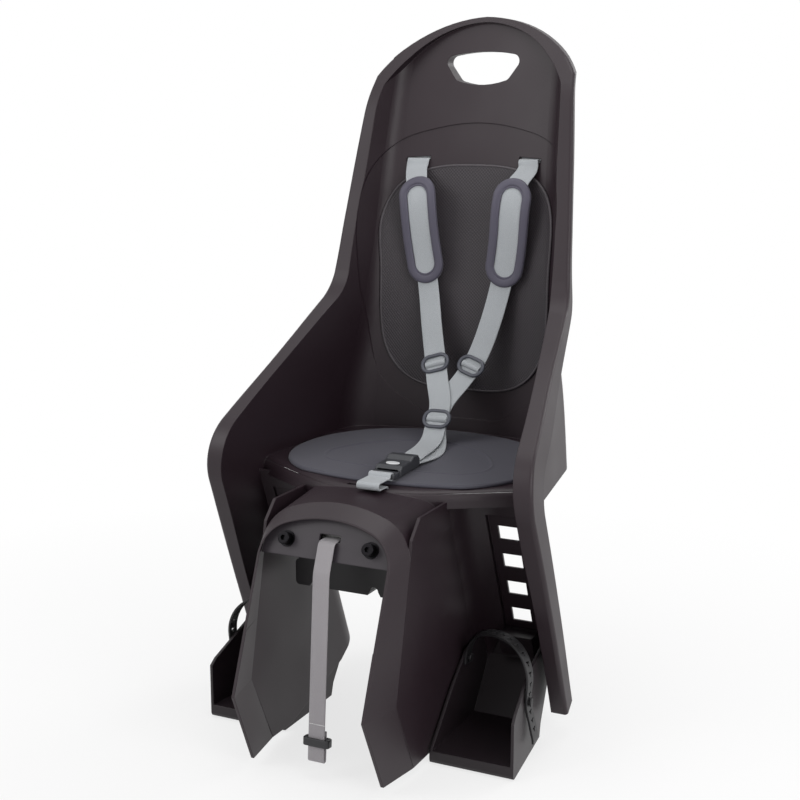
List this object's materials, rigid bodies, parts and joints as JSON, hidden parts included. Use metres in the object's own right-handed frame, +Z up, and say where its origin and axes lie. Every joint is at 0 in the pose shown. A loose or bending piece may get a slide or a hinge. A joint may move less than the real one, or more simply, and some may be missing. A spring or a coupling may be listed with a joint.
{
  "type": "rear rack child bike seat",
  "caption": "Rear child bike seat: moulded high-back shell with leg guards, sliding footrests, shoulder harness, crotch buckle and rack bracket.",
  "frame": {"origin": "midway between the two rack rails, on the underside of the rack bracket", "axes": "+X to the child's left, +Y to the rear, +Z up; millimetres in the source, metres in the pack"},
  "size_m": [0.4192, 0.5199, 0.83],
  "materials": {
    "shell_plastic": "moulded polypropylene, fine matt grain, warm near-black",
    "plate_plastic": "moulded polypropylene, plain satin, mid-dark grey",
    "bracket_plastic": "glass-filled nylon, satin black",
    "buckle_plastic": "moulded acetal, satin dark grey",
    "adjuster_plastic": "moulded acetal, satin mid grey",
    "button_plastic": "moulded, semi-gloss off-white",
    "pad_foam": "pressed soft foam with a fine grain, dark slate",
    "pad_fabric": "knitted fabric over foam, blue-grey",
    "webbing": "woven polyester webbing, light silver-grey",
    "safety_webbing": "woven polyester webbing, mid grey",
    "strap_rubber": "soft moulded rubber, black",
    "screw_steel": "zinc-plated steel",
    "washer_steel": "zinc-plated steel",
    "anchor_steel": "plain steel bar",
    "spring_steel": "spring wire, bright"
  },
  "bodies": {
    "seat": {"seat_shell": "shell_plastic", "seat_pad": "pad_foam", "back_pad": "pad_foam", "front_plate": "plate_plastic", "rack_bracket": "bracket_plastic", "deck_bolts": "screw_steel", "buckle_housing": "buckle_plastic", "buckle_spring": "spring_steel", "buckle_tongue": "buckle_plastic", "lower_webbing": "webbing", "crotch_strap": "webbing", "crotch_anchor": "anchor_steel", "safety_strap": "safety_webbing", "safety_slider": "buckle_plastic", "safety_strap_anchor": "anchor_steel", "adjuster_lower": "adjuster_plastic", "shoulder_pad_left": "pad_fabric", "adjuster_left": "adjuster_plastic", "strap_keeper_left": "anchor_steel", "shoulder_strap_left": "webbing", "plate_screw_left": "screw_steel", "plate_washer_left": "washer_steel", "shoulder_pad_right": "pad_fabric", "adjuster_right": "adjuster_plastic", "strap_keeper_right": "anchor_steel", "shoulder_strap_right": "webbing", "plate_screw_right": "screw_steel", "plate_washer_right": "washer_steel"},
    "footrest_left": {"footrest_left": "shell_plastic", "foot_strap_left": "strap_rubber", "foot_strap_pegs_left": "bracket_plastic"},
    "footrest_right": {"footrest_right": "shell_plastic", "foot_strap_right": "strap_rubber", "foot_strap_pegs_right": "bracket_plastic"},
    "button": {"buckle_button": "button_plastic"}
  },
  "joints": [
    {"name": "footrest_slide_left", "type": "slide", "parent": "seat", "child": "footrest_left", "axis": [0, -0.3872, 0.922], "range_m": [0, 0.1128]},
    {"name": "footrest_slide_right", "type": "slide", "parent": "seat", "child": "footrest_right", "axis": [0, -0.3872, 0.922], "range_m": [0, 0.1128]},
    {"name": "buckle_button_press", "type": "slide", "parent": "seat", "child": "button", "axis": [0, 0, -1], "range_m": [0, 0.0025], "stiffness_N_per_m": 800, "springref_m": -0.001, "deforming": ["buckle_spring"]}
  ]
}
